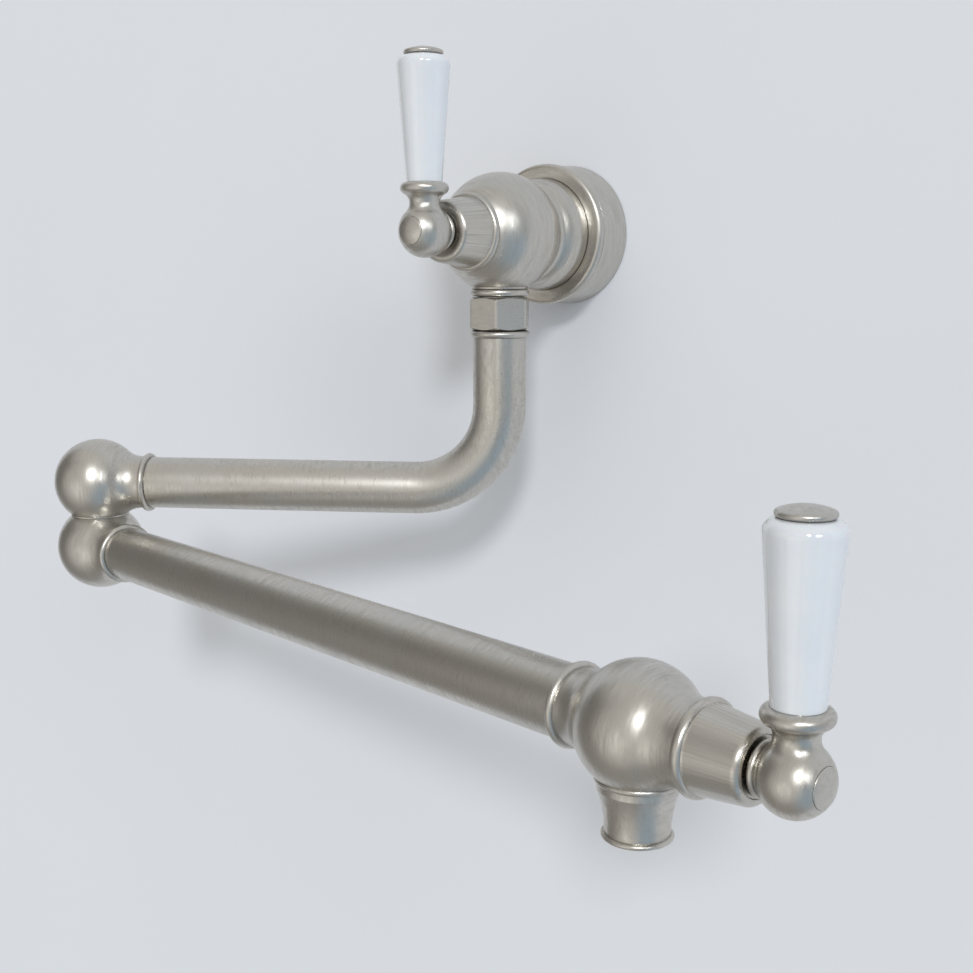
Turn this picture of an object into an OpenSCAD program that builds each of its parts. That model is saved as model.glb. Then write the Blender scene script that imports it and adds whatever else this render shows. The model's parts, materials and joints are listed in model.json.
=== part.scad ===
// Wall mounted pot filler with two swinging arms and a quarter turn valve at each end.
// Millimetres. X runs to the right along the wall, Y into the wall and Z up.
// The origin is the centre of the flange on the wall.

/* [Arms] */
// Angle of the upper arm out from the wall, to the left
upper_arm_angle = 30; // [0:1:180]
// Angle of the lower arm out from the wall, to the right
lower_arm_angle = 10.64; // [0:0.01:90]
// Length of the upper arm, from the swivel's axis to the elbow's axis
upper_arm_len = 176.6; // [140:1:260]
// Length of the lower arm, from the elbow's axis to the end ball's centre
lower_arm_len = 312.6; // [220:1:400]
// Height of the wall ball's centre above the upper arm
arm_drop = 106.2; // [95:0.5:160]
// Height of the upper arm above the lower arm
elbow_rise = 28.6; // [26:0.1:34]
// Outer diameter of the arms' tube
tube_d = 22; // [20:0.5:24]
// Wall thickness of the tube
tube_wall = 1.1; // [0.8:0.1:1.6]
// Radius of the bend, measured to the middle of the tube
bend_r = 35.8; // [28:0.1:45]

/* [Wall flange] */
// Diameter of the flange at the wall
flange_d = 59; // [55:0.5:70]
// Distance from the wall to the flange's front face
flange_depth = 20.5; // [17:0.5:24]
// Thickness of the flange's side
flange_wall = 3.9; // [3.2:0.1:4.6]
// Thickness of the flange's front plate
flange_front = 2.9; // [2:0.1:4]
// How much smaller the flange's radius is at the crease than at the wall
flange_taper = 0.6; // [0:0.1:1.2]
// Radius of the bead round the front edge
flange_bead_r = 2.1; // [1.6:0.1:2.6]
// How far the side overlaps the back of the bead, which leaves the crease
flange_crease = 0.3; // [0.1:0.1:0.8]

/* [Wall valve body] */
// Diameter of the wall valve's ball
wall_ball_d = 49; // [46:0.5:54]
// Distance from the wall to the ball's centre
wall_ball_depth = 50.7; // [47:0.1:58]
// Diameter of the bell where it enters the flange
bell_d = 46.8; // [42:0.2:49]
// Length of the bell's straight part in front of the flange
bell_straight = 2.5; // [1:0.1:4]
// Radius of the bell's rounding
bell_round = 13.5; // [11:0.5:16]
// Radius of the groove between the bell and the ball
bell_groove = 3.4; // [2:0.1:5]
// Gap between the wall and the back of the body
body_back = 6; // [3:0.5:9]
// Wall thickness of the bell's skirt inside the flange
skirt_wall = 3.4; // [2.5:0.1:5]
// Depth of the ring shaped hollow behind the bell
relief_depth = 11; // [6:0.5:13]
// Diameter of the boss round the inlet
inlet_boss_d = 28; // [25:0.5:32]
// Diameter of the inlet's bore
inlet_d = 18.6; // [15:0.1:21]
// Depth of the inlet's bore
inlet_depth = 15; // [10:0.5:18]
// Diameter of the water passages
passage_d = 12; // [9:0.5:13]

/* [Swivel] */
// Diameter of the boss under the ball
boss_d = 23; // [21:0.2:25]
// Distance from the ball's centre to the bead on the boss
boss_len = 22.35; // [21:0.05:26]
// Diameter of the bead on the boss
boss_bead_d = 24.4; // [22.6:0.1:26]
// Thickness of the bead on the boss
boss_bead_t = 3.1; // [2:0.1:3.6]
// Gap between the bead and the swivel nut
nut_gap = 0.55; // [0.3:0.05:1.5]
// Width across the flats of the swivel nut
nut_af = 23; // [22:0.1:26]
// Height of the swivel nut
nut_height = 13; // [11:0.5:16]
// Diameter of the nut over its rounded corners
nut_round_d = 26; // [24:0.1:27]
// Diameter of the nut's end faces inside the chamfer
nut_face_d = 22.8; // [21.5:0.1:23.5]
// Height of the chamfer on the nut's corners
nut_chamfer = 0.95; // [0.4:0.05:1.5]
// Thickness of the nut's bottom lip
nut_lip = 3.4; // [2:0.1:4]
// Diameter of the threaded stub inside the nut
stub_d = 19; // [17.6:0.1:19.6]
// Length of the stub below the bead
stub_len = 7.55; // [5:0.05:8.5]
// Diameter of the spigot that turns in the stub
spigot_d = 15.2; // [13:0.1:16]
// Diameter of the spigot's bore
spigot_bore_d = 9; // [7:0.1:10]
// Distance from the ball's centre to the top of the spigot
spigot_top = 14.5; // [12:0.1:17]
// Gap between the nut and the spigot's bead
spigot_gap = 0.4; // [0.2:0.05:1]
// Diameter of the spigot's bead
spigot_bead_d = 24.8; // [23:0.1:26]
// Thickness of the spigot's bead
spigot_bead_t = 2.8; // [2:0.1:3.6]
// Distance from the spigot's top to its first seal ring
spigot_ring_first = 4; // [2.5:0.1:5]
// Distance between the spigot's seal rings
spigot_ring_pitch = 5; // [3:0.1:6]
// Thickness of the snap ring
snap_t = 1.9; // [1.2:0.1:2]
// Outer diameter of the snap ring
snap_d = 18.4; // [17.2:0.1:18.6]

/* [Elbow] */
// Diameter of the elbow balls
elbow_ball_d = 37; // [34:0.5:41]
// Thickness of the washer between the elbows
washer_t = 0.7; // [0.4:0.1:1.5]
// Diameter of the washer between the elbows
washer_d = 24.4; // [20:0.1:26]
// Diameter of the spindle that joins the elbows
elbow_spindle_d = 14; // [12.5:0.1:15]
// Diameter of the elbow spindle's bore
elbow_bore_d = 8.4; // [6:0.1:9]
// Length of the spindle inside each elbow
elbow_grip = 8.3; // [8:0.1:9]
// Distance from the joint's face to the first seal ring
elbow_ring_first = 1.6; // [1.2:0.1:2]
// Distance between the elbow's seal rings
elbow_ring_pitch = 2.4; // [2.1:0.1:2.6]
// Thickness of the retaining clip
clip_t = 1.2; // [0.8:0.1:1.3]
// Outer diameter of the retaining clip
clip_d = 15.4; // [14.8:0.1:16]

/* [Necks on the tube] */
// Diameter of the necks beside the tube
tube_neck_d = 22.6; // [21:0.1:24.5]
// Radius of the hollow between a ball and its neck
neck_fillet = 13; // [9:0.5:18]
// Straight length of a neck before its bead
neck_straight = 1.8; // [0.5:0.1:4]
// Diameter of the beads at the tube's ends
tube_bead_d = 25.3; // [24.6:0.1:28]
// Thickness of the beads at the tube's ends
tube_bead_t = 2.6; // [1.8:0.1:3.4]
// Length of the sleeves inside the tube's ends
sleeve_len = 9.5; // [6:0.5:14]
// Wall thickness of the sleeves inside the tube's ends
sleeve_wall = 1.9; // [1.2:0.1:2.6]

/* [End valve body] */
// Diameter of the end valve's ball
end_ball_d = 36.8; // [35:0.2:41]
// Diameter of the neck beside the end bonnet
end_neck_d = 24.6; // [23.6:0.1:27]
// Straight length of the neck beside the end bonnet
end_neck_straight = 2.1; // [0.5:0.1:4]
// Diameter of the lip at the top of the nozzle
nozzle_lip_d = 24.6; // [22:0.1:27]
// Rounding of the nozzle's lip
nozzle_lip_round = 0.9; // [0.4:0.1:1.4]
// Distance from the ball's centre to the middle of the lip
nozzle_lip_drop = 14.5; // [13:0.1:17]
// Diameter of the nozzle at its narrow end
nozzle_d = 18.3; // [16.4:0.1:20]
// Distance from the ball's centre to the crease above the bottom bead
nozzle_crease_drop = 29.9; // [26:0.1:36]
// Radius of the nozzle's hollow side
nozzle_curve = 36; // [30:1:60]
// Diameter of the nozzle's bottom bead
nozzle_bead_d = 20.2; // [18.5:0.1:23]
// Thickness of the nozzle's bottom bead
nozzle_bead_t = 1.6; // [1.2:0.1:2.6]
// Bore at the nozzle's mouth
nozzle_bore_d = 13; // [10.5:0.1:14]
// Bore above the stream straightener
nozzle_feed_d = 11.6; // [8:0.1:12]
// Height of the stream straightener
straightener_h = 5; // [3:0.5:8]
// Height of the straightener above the nozzle's end
straightener_inset = 0.5; // [0.2:0.1:2]
// Diameter of the straightener's holes
straightener_hole_d = 3.4; // [2.4:0.1:3.6]
// Distance from the middle to the ring of holes
straightener_ring_r = 4.2; // [3.8:0.1:4.4]

/* [Bonnets] */
// Diameter of the wall bonnet's bead
wall_bonnet_bead_d = 31; // [28.5:0.1:34]
// Diameter of the wall bonnet's cone beside the bead
wall_bonnet_base_d = 27.8; // [25:0.1:30]
// Diameter of the wall bonnet's cone at its front
wall_bonnet_front_d = 23.8; // [20:0.1:26]
// Length of the wall bonnet in front of the body
wall_bonnet_len = 18.4; // [15:0.1:24]
// Diameter of the end bonnet's bead
end_bonnet_bead_d = 27; // [25.4:0.1:31]
// Diameter of the end bonnet's cone beside the bead
end_bonnet_base_d = 24.5; // [23:0.1:27]
// Diameter of the end bonnet's cone at its front
end_bonnet_front_d = 21; // [19:0.1:23]
// Length of the end bonnet in front of the body
end_bonnet_len = 19.2; // [16:0.1:24]
// Thickness of the bonnets' beads
bonnet_bead_t = 2.8; // [2:0.1:3.6]
// Radius of the hollow between the bonnets' beads and cones
bonnet_flare = 2; // [1:0.1:3]
// Rounding of the bonnets' front edges
bonnet_round = 2; // [0.5:0.1:2.2]
// Diameter of the dish in the bonnets' front faces, at its bottom
bonnet_dish_d = 16.2; // [15.6:0.1:16.4]
// Depth of the dish in the bonnets' front faces
bonnet_dish = 0.5; // [0.2:0.1:1.5]

/* [Cartridges] */
// Distance from a ball's centre back to its valve seat
seat_depth = 9.3; // [8.6:0.1:10.5]
// Outer diameter of the cartridge housing
cart_d = 18; // [17:0.1:19]
// Wall thickness of the housing round the discs
cart_wall = 1.45; // [1:0.05:1.6]
// Length of the housing's chamber
cart_chamber = 10.2; // [9.6:0.1:11]
// Distance from a ball's centre to the housing's shoulder
cart_shoulder = 7.5; // [6.8:0.1:8]
// Diameter of the housing's shoulder
cart_shoulder_d = 20.4; // [19.4:0.1:20.8]
// Thickness of the housing's shoulder
cart_shoulder_t = 2; // [1:0.1:3]
// Diameter of the housing inside the bonnet
cart_stem_d = 14.4; // [11:0.1:15]
// Distance from a ball's centre to the housing's front end
cart_front = 24; // [21:0.1:25]
// Width of the housing's water windows
window_w = 8; // [5:0.5:10]
// Length of the housing's water windows
window_len = 4.2; // [3:0.1:5]
// Distance from the seal ring's groove to the shoulder
cart_ring_back = 2.5; // [1.8:0.1:3]
// Diameter of the bonnet's thread in the body
bonnet_thread_d = 21.4; // [21:0.1:22]
// Thickness of the rubber seat seal
seal_t = 1.4; // [0.8:0.1:1.8]
// Bore of the rubber seat seal
seal_bore_d = 12.4; // [9:0.1:14]
// Diameter of the moving ceramic disc
moving_disc_d = 14.6; // [13:0.1:14.8]
// Thickness of the fixed ceramic disc
fixed_disc_t = 2.8; // [2:0.1:3]
// Thickness of the moving ceramic disc
moving_disc_t = 2.6; // [2:0.1:3]
// Diameter of the discs' water holes
disc_hole_d = 3.8; // [2:0.1:4]
// Distance from the discs' middle to their water holes
disc_hole_r = 4.6; // [4.5:0.1:5]
// Diameter of the spindle
spindle_d = 8; // [7:0.1:9]
// Length of the spindle's tang
tang_len = 12.6; // [9:0.1:13.4]
// Width of the spindle's tang
tang_w = 4.8; // [3:0.1:5]
// Depth of the tang's slot in the moving disc
tang_slot = 1; // [0.6:0.1:1.4]
// Distance from a ball's centre to the spindle's seal ring
spindle_ring_out = 15; // [12:0.1:19]
// Outer diameter of the spindle's clip
spindle_clip_d = 11.2; // [9.6:0.1:12]
// Thickness of the spindle's clip
spindle_clip_t = 0.9; // [0.6:0.1:1.4]

/* [Levers] */
// Diameter of the lever hub's ball
hub_ball_d = 20.2; // [18.5:0.1:24]
// Gap between the bonnet and the hub's back disc
hub_gap = 0.3; // [0.2:0.05:0.8]
// Distance from the hub's centre to its back face
hub_back = 9.4; // [8.6:0.1:9.8]
// Diameter of the hub's back disc
hub_disc_d = 15.4; // [13.4:0.1:17]
// Thickness of the hub's back disc
hub_disc_t = 2; // [1.2:0.1:2.6]
// Distance from the hub's centre to its front flat
hub_flat = 8.5; // [7.9:0.1:8.6]
// Diameter of the neck's waist
hub_waist_d = 11.6; // [9:0.1:12.4]
// Height of the waist above the hub's centre
hub_waist_h = 10.5; // [10:0.1:12]
// Diameter of the hub's collar
collar_d = 18.5; // [16.5:0.1:22]
// Height of the collar's underside above the hub's centre
collar_h = 13.65; // [13.4:0.05:16]
// Thickness of the hub's collar
collar_t = 4.5; // [3:0.1:6]
// Side of the square spindle end
drive_w = 5; // [4.4:0.1:5.4]
// Distance from the hub's centre to the bottom of the drive socket
drive_end = 2.6; // [2.2:0.1:4]
// Diameter of the lever screw's head
lever_head_d = 6.8; // [5.6:0.1:7.4]
// Thickness of the lever screw's head
lever_head_t = 2.4; // [1.6:0.1:2.6]
// Diameter of the lever screw
lever_screw_d = 3.4; // [2.5:0.1:3.8]
// Length of the lever screw's shank in the spindle
lever_screw_grip = 5; // [3:0.5:7]
// Diameter of the screw cover
cover_d = 10.6; // [8.5:0.1:11]
// Thickness of the screw cover inside the hub
cover_t = 1.2; // [0.8:0.1:1.5]
// How far the screw cover's edge stands out of the hub
cover_rise = 0.3; // [0.1:0.05:0.6]
// Height of the screw cover's dome
cover_dome = 1; // [0.5:0.1:1.6]
// Chamfer round the screw cover
cover_chamfer = 0.15; // [0.05:0.05:0.3]
// Diameter of the handle at its foot
handle_foot_d = 13.8; // [11:0.1:16]
// Diameter that the handle's straight taper would reach at its top
handle_top_d = 20.9; // [18:0.1:26]
// Length of the handle
handle_len = 46; // [36:0.5:60]
// Rounding of the handle's shoulder
handle_round = 3.4; // [1.5:0.1:4]
// Diameter of the tie rod
tie_d = 5; // [3.5:0.1:5.6]
// Diameter of the handle's bore
handle_bore_d = 5.6; // [5.6:0.1:7]
// Height of the tie rod's lower end above the hub's centre
tie_foot = 4.5; // [4:0.1:6]
// Diameter of the cap's rim
cap_d = 15; // [12.6:0.1:16]
// Thickness of the cap's rim
cap_rim_t = 1.9; // [1.2:0.1:2.4]
// Height of the cap's dome above the rim
cap_dome_h = 1.25; // [0.8:0.05:2]
// Diameter of the cap's spigot in the handle
cap_spigot_d = 8; // [7:0.1:9]
// Length of the cap's spigot in the handle
cap_spigot_len = 4; // [2:0.5:8]

/* [Fixings and clearances] */
// Clearance of turning and sliding fits, on each side
fit_gap = 0.05; // [0.02:0.01:0.08]
// Clearance round pieces that only stand free of each other
free_gap = 0.35; // [0.3:0.05:0.5]
// Thickness of the seal rings' rubber
ring_t = 1.6; // [1.2:0.1:1.7]
// Diameter of the grub screw
grub_d = 4; // [3:0.5:5]
// Distance from the wall to the grub screw
grub_depth = 9; // [8:0.5:12]
// Width across the flats of the grub screw's socket
grub_af = 2; // [1.5:0.1:2.5]
// Depth of the grub screw's socket
grub_socket = 2; // [1:0.1:3]
// How far the grub screw lies below the flange's side
grub_inset = 0.4; // [0.2:0.1:1]

/* [Hidden] */
$fn = 96;
// Overrun of cuts past the faces that they open
over = 1;

// Shares of a shaft's radius that are left inside a clip's groove
clip_depth_share = 0.75;
snap_depth_share = 0.85;
elbow_clip_share = 0.84;
// Share of the lever screw's head that its socket takes
socket_depth_share = 0.6;

// Radii of the main forms
tube_r = tube_d / 2;
tube_bore_r = tube_r - tube_wall;
flange_r = flange_d / 2;
wall_ball_r = wall_ball_d / 2;
elbow_ball_r = elbow_ball_d / 2;
end_ball_r = end_ball_d / 2;
bell_r = bell_d / 2;
hub_ball_r = hub_ball_d / 2;
tube_neck_r = tube_neck_d / 2;
passage_r = passage_d / 2;

// Places of the elbow's axis and of the arms
elbow_x = -upper_arm_len * cos(upper_arm_angle);
elbow_y = -wall_ball_depth - upper_arm_len * sin(upper_arm_angle);

// Distance along a neck at which its hollow from the ball ends
function neck_start(ball_r, neck_r) =
  sqrt(pow(ball_r + neck_fillet, 2) - pow(neck_r + neck_fillet, 2));

// The crossing, on the far side from the axis, of two circles in a profile
function crossing(a, ra, b, rb) =
  let (gap = b - a,
    d = norm(gap),
    along = (d * d + ra * ra - rb * rb) / (2 * d),
    away = sqrt(ra * ra - along * along))
  a + gap * along / d + [gap[1], -gap[0]] * away / d;

// Radius of a hollow that is upright on a waist and runs smoothly into a round edge
function cove(waist_r, waist_h, edge_mid, edge_r) =
  let (out = waist_r - edge_mid[0],
    up = waist_h - edge_mid[1])
  (out * out + up * up - edge_r * edge_r) / (2 * (edge_r - out));

// Centre of a hollow that runs smoothly from a round edge into a straight side
function flare_mid(side, slope, edge_mid, edge_r, r) =
  let (lean = sqrt(1 + slope * slope),
    start = side + [r, r * slope] / lean,
    gap = start - edge_mid,
    along = gap[1] - gap[0] * slope,
    rest = gap * gap - pow(r + edge_r, 2),
    reach = (sqrt(along * along - lean * lean * rest) - along) / (lean * lean))
  start + reach * [-slope, 1];

// Heights in the swivel, measured down from the wall ball's centre
bead_top = boss_len;
bead_end = boss_len + boss_bead_t;
stub_end = bead_end + stub_len;
nut_top = bead_end + nut_gap;
nut_end = nut_top + nut_height;
lip_top = nut_end - nut_lip;
spigot_bead_top = nut_end + spigot_gap;
spigot_bead_end = spigot_bead_top + spigot_bead_t;
snap_top = (stub_end + lip_top - snap_t) / 2;
spigot_r = spigot_d / 2;

// Distances along the tube's necks, measured from a ball's centre
elbow_bead = neck_start(elbow_ball_r, tube_neck_r) + neck_straight;
elbow_bead_end = elbow_bead + tube_bead_t;
end_bead = neck_start(end_ball_r, tube_neck_r) + neck_straight;
end_bead_end = end_bead + tube_bead_t;
sleeve_r = tube_bore_r - fit_gap;

nozzle_end = nozzle_crease_drop + nozzle_bead_t;

// The elbow joint, measured from an elbow ball's centre
joint_face = (elbow_rise - washer_t - 2 * fit_gap) / 2;
elbow_spindle_r = elbow_spindle_d / 2;
// Distance from the joint's face to the clip's groove in the upper elbow
clip_near = elbow_ring_first + elbow_ring_pitch + ring_t / 2 + free_gap;

// Distances along a valve's axis, measured from its ball's centre towards the lever
cart_r = cart_d / 2;
cart_rim = -seat_depth + seal_t + fit_gap;
chamber_end = cart_rim + cart_chamber;
moving_back = cart_rim + fixed_disc_t + fit_gap;
moving_front = moving_back + moving_disc_t;
shoulder_front = cart_shoulder + cart_shoulder_t;
clip_back = cart_front + fit_gap;
spindle_r = spindle_d / 2;
wall_seat_out = sqrt(pow(wall_ball_r, 2) - pow(wall_bonnet_bead_d / 2 - bonnet_bead_t / 2, 2));
end_seat_out = neck_start(end_ball_r, end_neck_d / 2) + end_neck_straight;
wall_bonnet_out = wall_seat_out + wall_bonnet_len;
end_bonnet_out = end_seat_out + end_bonnet_len;
wall_hub_out = wall_bonnet_out + hub_gap + hub_back;
end_hub_out = end_bonnet_out + hub_gap + hub_back;

// Heights in a lever, measured up from the hub's centre
collar_top = collar_h + collar_t;
handle_foot = collar_top + fit_gap;
handle_top = handle_foot + handle_len;
cap_foot = handle_top + fit_gap;
cap_rim_mid = cap_foot + cap_rim_t / 2;

// Frames: each puts its own Z along an axis, with Y up for a valve
module at_wall_valve() {
  translate([0, -wall_ball_depth, 0])
    rotate([90, 0, 0])
      children();
}

module at_upper_arm() {
  translate([0, -wall_ball_depth, 0])
    rotate([0, 0, 180 + upper_arm_angle])
      children();
}

module at_lower_arm() {
  translate([elbow_x, elbow_y, -arm_drop - elbow_rise])
    rotate([0, 0, -lower_arm_angle])
      children();
}

module at_end_valve() {
  at_lower_arm()
    translate([lower_arm_len, 0, 0])
      rotate([90, 0, 90])
        children();
}

module at_wall_hub() {
  at_wall_valve()
    translate([0, 0, wall_hub_out])
      children();
}

module at_end_hub() {
  at_end_valve()
    translate([0, 0, end_hub_out])
      children();
}

// Turns a piece that stands on Z so that it points down
module downward() {
  rotate([180, 0, 0])
    children();
}

// Turns a piece that stands on Z so that it points up in a valve's frame
module upright() {
  rotate([-90, 0, 0])
    children();
}

// Half of a disc, for a ball turned about the axis
module ball_2d(r, at = 0) {
  intersection() {
    translate([0, at])
      circle(r);
    translate([0, at - r])
      square([r, 2 * r]);
  }
}

// A slice of a turned piece, from one distance to another
module slice_2d(r, from, to) {
  translate([0, from])
    square([r, to - from]);
}

// A disc with a fully rounded edge, which starts at one distance
module bead_2d(r, t, from) {
  slice_2d(r - t / 2, from, from + t);
  translate([r - t / 2, from + t / 2])
    circle(t / 2);
}

// A hollow that runs smoothly from a ball into a straight neck
module neck_2d(ball_r, neck_r, to) {
  start = neck_start(ball_r, neck_r);
  difference() {
    polygon([[0, 0], [neck_r + neck_fillet, start], [0, start]]);
    translate([neck_r + neck_fillet, start])
      circle(neck_fillet);
  }
  slice_2d(neck_r, 0, to);
}

// A cone with a rounded front edge
module cone_2d(base_r, front_r, from, to, round_r) {
  slope = (base_r - front_r) / (to - from);
  lean = sqrt(1 + slope * slope);
  mid = to - round_r;
  mid_r = base_r - slope * (mid - from) - round_r * lean;
  polygon([
    [0, from],
    [base_r, from],
    [mid_r + round_r / lean, mid + round_r * slope / lean],
    [mid_r, mid],
    [mid_r, to],
    [0, to]
  ]);
  translate([mid_r, mid])
    circle(round_r);
}

// A rubber ring that fills its groove up to the surface of radius r
module seal_ring(r) {
  rotate_extrude()
    translate([r - ring_t / 2, 0])
      circle(ring_t / 2 - fit_gap / 2);
}

// The groove of a seal ring in a surface of radius r
module seal_groove(r) {
  translate([0, 0, -ring_t / 2])
    difference() {
      cylinder(r = r + over, h = ring_t);
      translate([0, 0, -over])
        cylinder(r = r - ring_t, h = ring_t + 2 * over);
    }
}

// A spring ring with a gap, which starts at zero height
module split_ring(outer_r, inner_r, t) {
  difference() {
    cylinder(r = outer_r, h = t);
    translate([0, 0, -over])
      cylinder(r = inner_r, h = t + 2 * over);
    translate([0, -inner_r / 4, -over])
      cube([outer_r + over, inner_r / 2, t + 2 * over]);
  }
}

// A groove cut into a shaft, which starts at zero height
module shaft_groove(shaft_r, inner_r, t) {
  difference() {
    cylinder(r = shaft_r + over, h = t);
    translate([0, 0, -over])
      cylinder(r = inner_r, h = t + 2 * over);
  }
}

// The bores that take a cartridge and its bonnet, in a valve's frame
module cartridge_bores(front) {
  translate([0, 0, -seat_depth])
    cylinder(r = cart_r + fit_gap, h = seat_depth + cart_shoulder);
  translate([0, 0, cart_shoulder - fit_gap])
    cylinder(d = bonnet_thread_d + 2 * fit_gap, h = front - cart_shoulder + fit_gap + over);
}

// Wall flange
module flange_2d() {
  side_end = flange_depth - 2 * flange_bead_r + flange_crease;
  edge_r = flange_r - flange_bead_r;
  hole_r = bell_r + 3 * fit_gap;
  polygon([
    [flange_r - flange_wall, 0],
    [flange_r, 0],
    [flange_r - flange_taper, side_end],
    [edge_r, side_end],
    [edge_r, flange_depth],
    [flange_r - flange_wall, flange_depth]
  ]);
  translate([hole_r, flange_depth - flange_front])
    square([edge_r - hole_r, flange_front]);
  translate([edge_r, flange_depth - flange_bead_r])
    circle(flange_bead_r);
}

module wall_flange() {
  color("silver")
    rotate([90, 0, 0])
      difference() {
        rotate_extrude()
          flange_2d();
        translate([0, 0, grub_depth])
          rotate([90, 0, 0])
            cylinder(d = grub_d + 2 * fit_gap, h = flange_r + over);
      }
}

module flange_grub_screw() {
  tip = bell_r + fit_gap;
  head = flange_r - flange_taper - grub_inset;
  color("dimgray")
    translate([0, -grub_depth, 0])
      downward()
        difference() {
          translate([0, 0, tip])
            cylinder(d = grub_d, h = head - tip);
          translate([0, 0, head - grub_socket])
            cylinder(d = grub_af / cos(30), h = grub_socket + over, $fn = 6);
        }
}

// Wall valve body: the bell, the groove and the ball in one profile, measured from the wall
module wall_body_2d() {
  bell_start = flange_depth + bell_straight;
  bell_mid = [bell_r - bell_round, bell_start];
  ball_mid = [0, wall_ball_depth];
  groove_mid = crossing(bell_mid, bell_round + bell_groove, ball_mid, wall_ball_r + bell_groove);
  intersection() {
    union() {
      slice_2d(bell_r, body_back, bell_start);
      translate(bell_mid)
        circle(bell_round);
      ball_2d(wall_ball_r, wall_ball_depth);
      difference() {
        polygon([[0, bell_start], bell_mid, groove_mid, ball_mid]);
        translate(groove_mid)
          circle(bell_groove);
      }
    }
    slice_2d(flange_r, body_back, wall_ball_depth + wall_seat_out);
  }
}

module wall_boss_2d() {
  slice_2d(boss_d / 2, 0, bead_top);
  bead_2d(boss_bead_d / 2, boss_bead_t, bead_top);
  slice_2d(stub_d / 2, bead_top, stub_end);
}

module wall_body() {
  color("silver")
    difference() {
      union() {
        rotate([90, 0, 0])
          rotate_extrude()
            wall_body_2d();
        translate([0, -wall_ball_depth, 0])
          downward()
            rotate_extrude()
              wall_boss_2d();
      }
      rotate([90, 0, 0])
        translate([0, 0, body_back - over]) {
          cylinder(d = inlet_d, h = inlet_depth + over);
          cylinder(r = passage_r, h = wall_ball_depth - body_back);
          difference() {
            cylinder(r = bell_r - skirt_wall, h = relief_depth + over);
            translate([0, 0, -over])
              cylinder(d = inlet_boss_d, h = relief_depth + 3 * over);
          }
        }
      at_wall_valve()
        cartridge_bores(wall_seat_out);
      translate([0, -wall_ball_depth, 0])
        downward() {
          cylinder(d = spigot_bore_d, h = spigot_top);
          translate([0, 0, spigot_top - free_gap])
            cylinder(r = spigot_r + fit_gap, h = stub_end - spigot_top + free_gap + over);
        }
    }
}

// Swivel nut, whose lip holds the snap ring up against the stub
module nut_2d() {
  polygon([
    [0, 0],
    [nut_face_d / 2, 0],
    [nut_round_d / 2, nut_chamfer],
    [nut_round_d / 2, nut_height - nut_chamfer],
    [nut_face_d / 2, nut_height],
    [0, nut_height]
  ]);
}

module swivel_nut() {
  color("silver")
    translate([0, -wall_ball_depth, -nut_top])
      downward()
        difference() {
          intersection() {
            cylinder(d = nut_af / cos(30), h = nut_height, $fn = 6);
            rotate_extrude()
              nut_2d();
          }
          translate([0, 0, -over])
            cylinder(d = stub_d + 2 * fit_gap, h = lip_top - nut_top + over);
          translate([0, 0, -over])
            cylinder(r = spigot_r + fit_gap, h = nut_height + 2 * over);
        }
}

// Cartridge pieces, in a valve's frame
module seat_seal() {
  translate([0, 0, -seat_depth + fit_gap])
    difference() {
      cylinder(r = cart_r - free_gap, h = seal_t - fit_gap);
      translate([0, 0, -over])
        cylinder(d = seal_bore_d, h = seal_t + 2 * over);
    }
}

module disc_holes() {
  for (side = [-1, 1])
    translate([side * disc_hole_r, 0, -seat_depth])
      cylinder(d = disc_hole_d, h = 2 * seat_depth);
}

module fixed_disc() {
  difference() {
    translate([0, 0, cart_rim])
      cylinder(r = cart_r - cart_wall - fit_gap, h = fixed_disc_t);
    disc_holes();
  }
}

module moving_disc() {
  difference() {
    translate([0, 0, moving_back])
      cylinder(d = moving_disc_d, h = moving_disc_t);
    rotate([0, 0, 90])
      disc_holes();
    translate([-moving_disc_d / 2 - over, -tang_w / 2 - fit_gap, moving_front - tang_slot])
      cube([moving_disc_d + 2 * over, tang_w + 2 * fit_gap, tang_slot + over]);
  }
}

module cartridge() {
  difference() {
    union() {
      translate([0, 0, cart_rim])
        cylinder(r = cart_r, h = cart_shoulder - cart_rim);
      translate([0, 0, cart_shoulder])
        cylinder(d = cart_shoulder_d, h = cart_shoulder_t);
      translate([0, 0, shoulder_front])
        cylinder(d = cart_stem_d, h = cart_front - shoulder_front);
    }
    translate([0, 0, cart_rim - over])
      cylinder(r = cart_r - cart_wall, h = cart_chamber + over);
    cylinder(r = spindle_r + fit_gap, h = cart_front + over);
    translate([-window_w / 2, -cart_r - over, chamber_end - fit_gap - window_len])
      cube([window_w, 2 * cart_r + 2 * over, window_len]);
    translate([0, 0, cart_shoulder - cart_ring_back])
      seal_groove(cart_r);
  }
}

module cartridge_ring() {
  translate([0, 0, cart_shoulder - cart_ring_back])
    seal_ring(cart_r);
}

// The spindle, with its tang in the moving disc and a square end in the hub
module spindle(hub_out) {
  shaft_end = hub_out - hub_back - fit_gap;
  square_end = hub_out - drive_end - fit_gap;
  difference() {
    union() {
      translate([-tang_len / 2, -tang_w / 2, moving_front - tang_slot + fit_gap])
        cube([tang_len, tang_w, chamber_end - moving_front + tang_slot - 2 * fit_gap]);
      translate([0, 0, chamber_end - tang_slot])
        cylinder(r = spindle_r, h = shaft_end - chamber_end + tang_slot);
      translate([-drive_w / 2, -drive_w / 2, shaft_end - over])
        cube([drive_w, drive_w, square_end - shaft_end + over]);
    }
    translate([0, 0, spindle_ring_out])
      seal_groove(spindle_r);
    translate([0, 0, clip_back])
      shaft_groove(spindle_r, spindle_r * clip_depth_share, spindle_clip_t + 2 * fit_gap);
    translate([0, 0, square_end - lever_screw_grip - over])
      cylinder(d = lever_screw_d + 2 * fit_gap, h = lever_screw_grip + 2 * over);
  }
}

module spindle_ring() {
  translate([0, 0, spindle_ring_out])
    seal_ring(spindle_r);
}

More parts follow.
